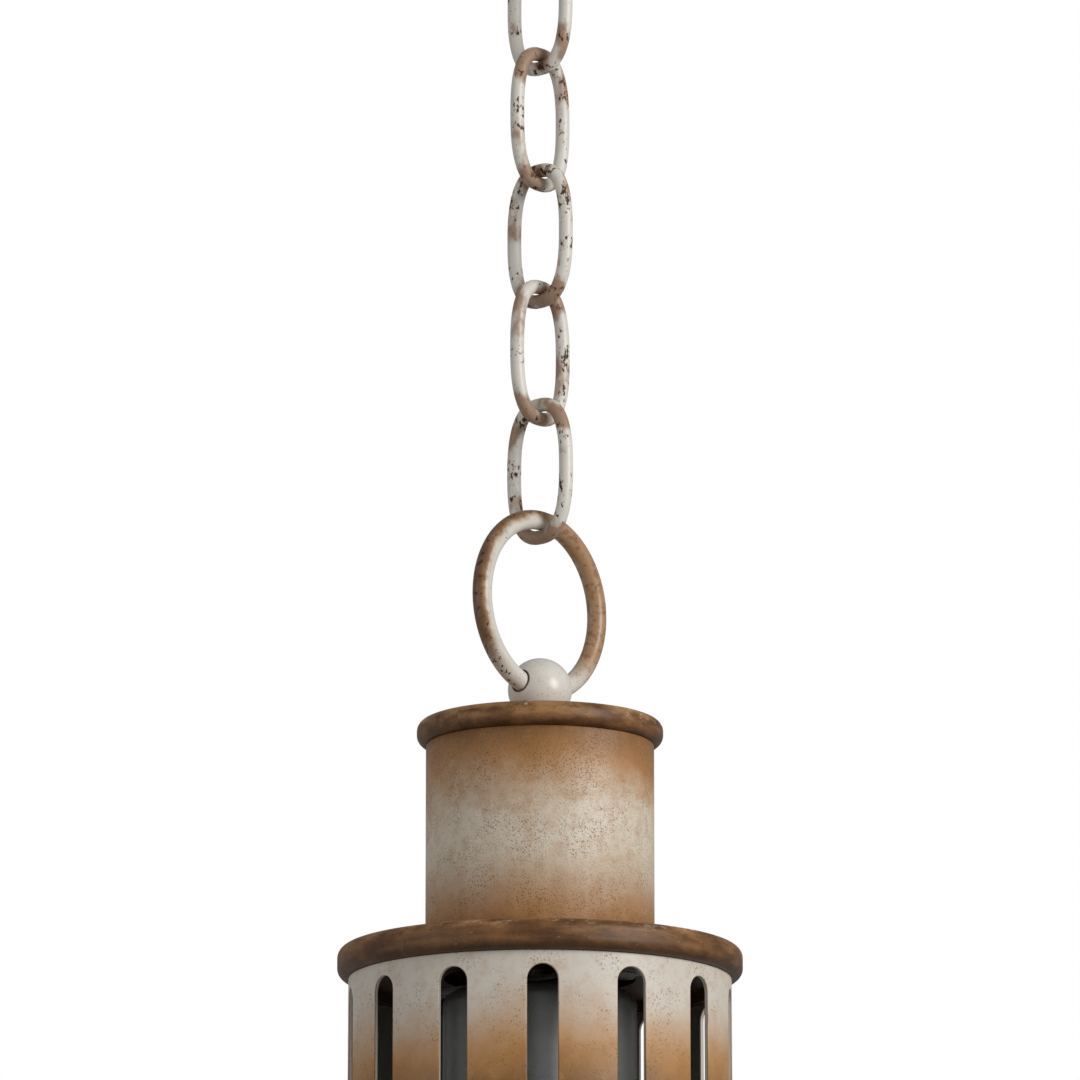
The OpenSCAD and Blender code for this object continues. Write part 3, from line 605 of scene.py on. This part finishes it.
def slotted_cell():
    """One slot with the sheet round it, rolled to the drum's radius, as rings of points that
    spread from the slot's edge to the cell's square outline."""
    hair = 1e-9
    half_w = slot_pitch * drum_r / 2
    half_h = drum_h / 2
    arc_z = half_h - slot_margin - slot_half_w
    corner_turn = math.pi / 2 * (half_h - arc_z) / (half_h - arc_z + half_w)
    side_steps, top_steps = 4, 6
    turns = [corner_turn * k / side_steps for k in range(side_steps + 1)]
    turns += [corner_turn + (math.pi / 2 - corner_turn) * k / top_steps
              for k in range(1, top_steps + 1)]
    quarter = []
    for turn in turns:
        gone = turn / (math.pi / 2) * (half_h - arc_z + half_w)
        edge = (half_w, arc_z + gone) if turn <= corner_turn + hair else (
            half_w - (gone - (half_h - arc_z)), half_h)
        slot_edge = (slot_half_w * math.cos(turn), arc_z + slot_half_w * math.sin(turn))
        quarter.append((slot_edge, edge))
    straight = 10
    side = [((slot_half_w, arc_z * k / straight), (half_w, arc_z * k / straight))
            for k in range(straight)]
    right_up = side + quarter
    flip_x = [((-a[0], a[1]), (-b[0], b[1])) for a, b in reversed(right_up[:-1])]
    upper = right_up + flip_x
    lower = [((a[0], -a[1]), (b[0], -b[1])) for a, b in reversed(upper[1:-1])]
    outline = upper + lower
    rings = 6
    points = []
    for k in range(rings + 1):
        for inner_point, outer_point in outline:
            s = inner_point[0] + (outer_point[0] - inner_point[0]) * k / rings
            z = inner_point[1] + (outer_point[1] - inner_point[1]) * k / rings
            turn = s / drum_r
            points.append((drum_r * math.cos(turn), drum_r * math.sin(turn),
                           (drum_low.z + drum_high.z) / 2 + z))
    count = len(outline)
    faces = [
        (k * count + i, (k + 1) * count + i,
         (k + 1) * count + (i + 1) % count, k * count + (i + 1) % count)
        for k in range(rings) for i in range(count)
    ]
    mesh = bpy.data.meshes.new("slotted_cell")
    mesh.from_pydata(points, [], faces)
    edge_heights = sorted({round(b[1], 9) for a, b in outline if abs(b[0] - half_w) < hair})
    return mesh, edge_heights


def spaced(name, finish, start, count, pitch, first=0.0, rise=0.0):
    """Copies of one shape, each turned about Z by the pitch and lifted by the rise."""
    row = Growth(name + "_row", Count=count, Pitch=0.0, First=0.0, Rise=0.0)
    index = row.add("GeometryNodeInputIndex", {}, {})
    angle = index * row.given("Pitch") + row.given("First")
    turn = row.add("ShaderNodeCombineXYZ", {}, {2: angle})
    step = row.add("ShaderNodeCombineXYZ", {}, {2: row.given("Rise")})
    places = row.add("GeometryNodeMeshLine", {}, {"Count": row.given("Count"), "Offset": step})
    copies = row.add("GeometryNodeInstanceOnPoints", {},
                     {"Points": places, "Instance": row.given("Geometry"), "Rotation": turn})
    row.ended(copies, finish)
    return row.grown(name, start=start, Count=count, Pitch=pitch, First=first, Rise=rise)


cell, edge_heights = slotted_cell()
first_slot = seam_turn + math.pi - slot_pitch * (slot_count - 1) / 2
drum = spaced("drum", drum_paint, cell, slot_count, slot_pitch, first_slot)

sheet = bmesh.new()
sheet.from_mesh(drum.data)
seam_half = math.pi - slot_pitch * slot_count / 2
seam_steps = 4
columns = []
for step in range(seam_steps + 1):
    turn = seam_turn + seam_half * (step * 2 / seam_steps - 1)
    columns.append([
        sheet.verts.new((drum_r * math.cos(turn), drum_r * math.sin(turn),
                         (drum_low.z + drum_high.z) / 2 + z))
        for z in edge_heights
    ])
for left, right in zip(columns, columns[1:]):
    for i in range(len(edge_heights) - 1):
        sheet.faces.new((left[i], right[i], right[i + 1], left[i + 1]))
bmesh.ops.remove_doubles(sheet, verts=sheet.verts, dist=0.02 * mm)
bmesh.ops.recalc_face_normals(sheet, faces=sheet.faces)
sheet.faces.ensure_lookup_table()
outer = sheet.faces[0]
if outer.normal.dot(outer.calc_center_median() * Vector((1, 1, 0))) < 0:
    bmesh.ops.reverse_faces(sheet, faces=sheet.faces)
for face in sheet.faces:
    face.smooth = True
sheet.to_mesh(drum.data)
sheet.free()
wall = drum.modifiers.new("wall", "SOLIDIFY")
wall.thickness = sheet_t
wall.offset = -1
dress = drum.modifiers.new("dress", "BEVEL")
dress.width = slot_dress
dress.segments = 3
dress.limit_method = "ANGLE"
dress.angle_limit = math.radians(50)
dress.harden_normals = True
placed(drum, "lantern", "drum_paint", "vent_drum")

dark_steel = Finish("dark_steel", Metallic=0.6)
rub = dark_steel.cloud(4 * mm, detail=4, stretch=(1, 1, 3))
dark_steel.feed("Base Color", dark_steel.mixed(rub, (0.05, 0.05, 0.045), (0.12, 0.12, 0.11)))
dark_steel.feed("Roughness", rub * 0.2 + 0.35)
painted(nodes["seam_strip"], dark_steel)


def turned(name, profile, sides, axis=Vector((0, 0, 1)), foot=Vector((0, 0, 0))):
    """A turned mesh from points of radius and height along an axis that starts at foot. The
    first and last points lie on the axis."""
    across = axis.orthogonal().normalized()
    other = axis.cross(across)
    points = [foot + axis * profile[0][1]]
    for radius, along in profile[1:-1]:
        for k in range(sides):
            angle = math.tau * k / sides
            spread = across * (radius * math.cos(angle)) + other * (radius * math.sin(angle))
            points.append(foot + axis * along + spread)
    points.append(foot + axis * profile[-1][1])
    rows = len(profile) - 2
    faces = [(0, 1 + (k + 1) % sides, 1 + k) for k in range(sides)]
    for row in range(rows - 1):
        a = 1 + row * sides
        faces += [(a + k, a + (k + 1) % sides, a + sides + (k + 1) % sides, a + sides + k)
                  for k in range(sides)]
    a = 1 + (rows - 1) * sides
    faces += [(a + k, a + (k + 1) % sides, len(points) - 1) for k in range(sides)]
    mesh = bpy.data.meshes.new(name)
    mesh.from_pydata([tuple(p) for p in points], [], faces)
    return mesh


def rounded_end(radius, height, corner, steps=4, up=True):
    """Profile points over a rounded corner at the end of a bar."""
    turns = [math.pi / 2 * k / steps for k in range(steps + 1)]
    points = [(radius - corner + corner * math.cos(t),
               height + (-corner + corner * math.sin(t)) * (1 if up else -1)) for t in turns]
    return points if up else points[::-1]


def aged_brass(name):
    brass = Finish(name, Metallic=0.9)
    patina = brass.cloud(2.5 * mm, detail=5)
    tone = brass.mixed(patina.rise(0.35, 0.7), (0.20, 0.12, 0.04), (0.42, 0.28, 0.11))
    brass.feed("Base Color", tone)
    brass.feed("Roughness", patina * 0.3 + 0.28)
    brass.feed("Normal", brass.relief(patina, 0.05 * mm))
    return brass


rivet_brass = aged_brass("rivet_brass")
rivet_r = 1.5 * mm
rivet_head_r = 3 * mm
rivet_head_h = 0.8 * mm
rivet_margin = 9 * mm
rivet_count = 4
bar_sides = 24
strip_t = 1 * mm
outward = Vector((math.cos(seam_turn), math.sin(seam_turn), 0))
behind = drum_r - sheet_t - strip_t
dome_steps = 5
dome = [(rivet_head_r * math.cos(t), drum_r + rivet_head_h * math.sin(t))
        for t in (math.pi / 2 * k / dome_steps for k in range(dome_steps))]
rivet = turned(
    "rivet",
    [(0, behind - rivet_head_h), (rivet_head_r * 0.85, behind - rivet_head_h),
     (rivet_head_r, behind - rivet_head_h * 0.7), (rivet_head_r, behind), (rivet_r, behind),
     (rivet_r, drum_r), *dome, (0, drum_r + rivet_head_h)],
    bar_sides, outward, Vector((0, 0, drum_low.z + rivet_margin)))
rivets = spaced("seam_rivet_row", rivet_brass, rivet, rivet_count, 0.0,
                rise=(drum_h - 2 * rivet_margin) / (rivet_count - 1))
placed(rivets, "lantern", "brass", "seam_rivets")


# ---- Lamp ----
# A flat bracket screwed under the flange carries a short threaded tube, the spun steel cup
# and inside it the porcelain holder with its screw bulb.
lamp_zinc = zinc_plate("lamp_zinc")
for name in ("lamp_bracket", "bracket_screws"):
    dressed(name, "lantern", "zinc", lamp_zinc)
painted(nodes["lamp_stem"], lamp_zinc)
cup_steel = Finish("cup_steel", Metallic=0.75)
spun = cup_steel.cloud(1.2 * mm, detail=3, stretch=(12, 1, 0.6), place=cup_steel.wrapped())
film = cup_steel.cloud(14 * mm, detail=3)
cup_steel.feed("Base Color", cup_steel.mixed(film, screen(146, 147, 144), screen(182, 183, 180)))
cup_steel.feed("Roughness", spun * 0.12 + film * 0.1 + 0.30)
cup_steel.feed("Normal", cup_steel.relief(spun, 0.03 * mm))
painted(nodes["lamp_cup"], cup_steel)

porcelain = Finish("porcelain", Coat_Weight=0.5)
glaze = porcelain.cloud(8 * mm, detail=3)
pits = porcelain.dots(2.5 * mm, 0.10)
tone = porcelain.mixed(glaze, (0.70, 0.67, 0.60), (0.80, 0.78, 0.72))
porcelain.feed("Base Color", porcelain.mixed(pits * 0.5, tone, (0.25, 0.20, 0.15)))
porcelain.feed("Roughness", glaze * 0.1 + 0.18)
painted(nodes["lamp_holder"], porcelain)

rolled_cap = Finish("rolled_cap", Metallic=1.0)
smear = rolled_cap.cloud(4 * mm, detail=4)
rolled_cap.feed("Base Color", rolled_cap.mixed(smear, (0.45, 0.45, 0.43), (0.62, 0.62, 0.60)))
rolled_cap.feed("Roughness", smear * 0.2 + 0.25)
painted(nodes["bulb_cap"], rolled_cap)


def clear_glass(name, tint):
    """Glass with a thin film of dust that shows as a faint haze."""
    glass = Finish(name, IOR=1.45, Transmission_Weight=0.92)
    dust = glass.cloud(18 * mm, detail=6)
    seeds = glass.dots(7 * mm, 0.05)
    glass.feed("Base Color", glass.mixed(dust.rise(0.4, 0.8) * 0.3, tint, screen(196, 190, 178)))
    glass.feed("Roughness", dust.rise(0.45, 0.8) * 0.16 + 0.02 + seeds * 0.2)
    return glass


bulb_clear = clear_glass("bulb_clear", (0.97, 0.97, 0.95))
painted(nodes["bulb_glass"], bulb_clear)


# ---- Glass and guard ----
# A clear glass cylinder stands between rubber gaskets. Six painted rods with a flat band
# tie the lower flange to the base ring and keep knocks off the glass.
painted(nodes["lower_flange"], bronze_coat("lower_flange"))
gasket_rubber = soft_rubber("gasket_rubber")
for name in ("upper_gasket", "lower_gasket"):
    painted(nodes[name], gasket_rubber)
cylinder_clear = clear_glass("cylinder_clear", (0.90, 0.95, 0.93))
painted(nodes["glass_cylinder"], cylinder_clear)

guard_paint = Finish("guard_paint")
drift = guard_paint.cloud(22 * mm, detail=4) - 0.5
grain = guard_paint.cloud(2.2 * mm, detail=5, roughness=0.62, stretch=(1, 1, 1.6))
tone = guard_paint.mixed((drift + 0.5).rise(0.35, 0.65), neck_cream, neck_tan)
specks = guard_paint.dots(1.6 * mm, 0.26)
chips = (grain + drift * 0.2).rise(0.71, 0.73)
tone = guard_paint.mixed(specks * 0.5, tone, speck_brown)
guard_paint.feed("Base Color", guard_paint.mixed(chips, tone, dark_metal_and_shade))
guard_paint.feed("Roughness", chips * 0.3 + 0.44)
guard_paint.feed("Normal", guard_paint.relief(drift - chips, 0.1 * mm))
rod_low, rod_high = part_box("guard_rods")
rod_count = 6
rod_r = 2.5 * mm
rod_circle_r = rod_high.y - rod_r
rod_turn = math.radians(30)
rod_tip = 0.7 * mm
rod = turned(
    "rod",
    [(0, rod_low.z), *rounded_end(rod_r, rod_low.z, rod_tip, up=False),
     *rounded_end(rod_r, rod_high.z, rod_tip), (0, rod_high.z)],
    bar_sides, foot=Vector((rod_circle_r, 0, 0)))
rods = spaced("guard_rod_set", guard_paint, rod, rod_count, math.tau / rod_count, rod_turn)
placed(rods, "lantern", "guard_paint", "guard_rods")
dressed("guard_band", "lantern", "guard_paint", guard_paint)


# ---- Base and door ----
# The base ring closes the guard and takes the rod nuts. A dished door with air holes hangs
# from a pinned hinge, shuts on a rubber ring and is held by a sprung brass catch.
painted(nodes["base_ring"], bronze_coat("base_ring"))
nut_zinc = zinc_plate("nut_zinc")
for name in ("rod_nuts", "hinge_screws", "hinge_pin"):
    dressed(name, "lantern", "zinc", nut_zinc)
painted(nodes["door_gasket"], gasket_rubber)
dressed("hinge_bracket", "lantern", "bronze", bronze_coat("hinge_bracket"))
for name in ("bottom_door", "door_finial"):
    painted(nodes[name], bronze_coat(name))
catch_brass = aged_brass("catch_brass")
for name in ("door_catch", "catch_rivets"):
    dressed(name, "door", "brass", catch_brass)


# ---- Studio ----
# A pale floor far under the lantern, white surroundings and two large soft lamps, the
# stronger one to the right of the camera and the weaker one to its left.
lamp_aim_z = -0.45


def soft_lamp(name, turn, rise, distance, width, power):
    """A round lamp aimed at the lantern, turned from the camera's side by degrees."""
    lamp = bpy.data.objects.new(name, bpy.data.lights.new(name, "AREA"))
    bpy.context.scene.collection.objects.link(lamp)
    lamp.data.shape = "DISK"
    lamp.data.size = width
    lamp.data.energy = power
    turn = view_turn + math.radians(turn)
    rise = math.radians(rise)
    way = Vector((math.cos(turn) * math.cos(rise), math.sin(turn) * math.cos(rise), math.sin(rise)))
    lamp.location = Vector((0, 0, lamp_aim_z)) + way * distance
    lamp.rotation_euler = (-way).to_track_quat("-Z", "Y").to_euler()


soft_lamp("key_lamp", turn=52, rise=18, distance=2.2, width=1.2, power=31)
soft_lamp("fill_lamp", turn=-60, rise=5, distance=2.4, width=1.6, power=6)

wall_light = 1.0
air_light = 0.31

world = bpy.data.worlds.new("studio")
bpy.context.scene.world = world
world.use_nodes = True
air = world.node_tree
backdrop = air.nodes["Background"]
backdrop.inputs["Color"].default_value = (1, 1, 1, 1)
backdrop.inputs["Strength"].default_value = wall_light
soft_air = air.nodes.new("ShaderNodeBackground")
soft_air.inputs["Color"].default_value = (1, 1, 1, 1)
soft_air.inputs["Strength"].default_value = air_light
ray = air.nodes.new("ShaderNodeLightPath")
choice = air.nodes.new("ShaderNodeMixShader")
air.links.new(ray.outputs["Is Camera Ray"], choice.inputs[0])
air.links.new(soft_air.outputs[0], choice.inputs[1])
air.links.new(backdrop.outputs[0], choice.inputs[2])
air.links.new(choice.outputs[0], air.nodes["World Output"].inputs["Surface"])

half = 40.0
floor_drop = 6.0
floor_z = cad_box[0].z - floor_drop
floor_mesh = bpy.data.meshes.new("floor")
floor_mesh.from_pydata(
    [(x, y, floor_z) for x, y in ((-half, -half), (half, -half), (half, half), (-half, half))],
    [], [(0, 1, 2, 3)],
)
floor = bpy.data.objects.new("floor", floor_mesh)
bpy.context.scene.collection.objects.link(floor)
floor_paint = Finish("floor_paint", Roughness=0.8, Emission_Strength=0.5)
floor_paint.feed(
    "Base Color", floor_paint.mixed(floor_paint.cloud(0.4), (0.79, 0.79, 0.78), (0.81, 0.81, 0.80)))
floor_paint.feed(
    "Emission Color", floor_paint.mixed(floor_paint.cloud(0.4), (0.9, 0.9, 0.9), (1, 1, 1)))
painted(floor, floor_paint)
floor.visible_diffuse = False
floor.visible_glossy = False
